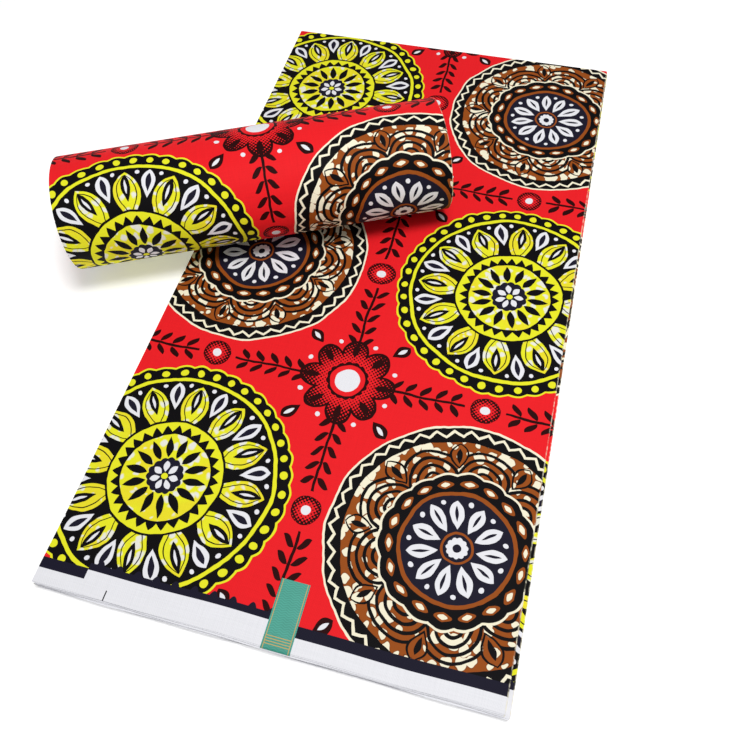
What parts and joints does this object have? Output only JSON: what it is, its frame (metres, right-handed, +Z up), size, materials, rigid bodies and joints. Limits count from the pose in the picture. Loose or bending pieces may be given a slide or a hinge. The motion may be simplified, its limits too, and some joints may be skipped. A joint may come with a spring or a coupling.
{
  "type": "folded and rolled wax print fabric",
  "caption": "Printed cotton cloth folded into a flat layered stack with a seal label round its front edge, and a rolled length of the same cloth lying askew across it.",
  "frame": {"origin": "middle of the bounding box, on the surface that the folded stack lies on", "axes": "+X along the front selvages, +Y from the selvages to the doubled back edge, +Z up"},
  "size_m": [0.415, 0.5734, 0.0905],
  "materials": {
    "printed_cotton": "plain woven cotton, wax-resist dyed and printed on both sides, lightly calendered",
    "label_film": "satin coated paper label"
  },
  "bodies": {
    "root": {"panel_under_layers": "printed_cotton", "panel_top_layer": "printed_cotton", "rolled_length": "printed_cotton", "seal_label": "label_film"}
  },
  "joints": []
}
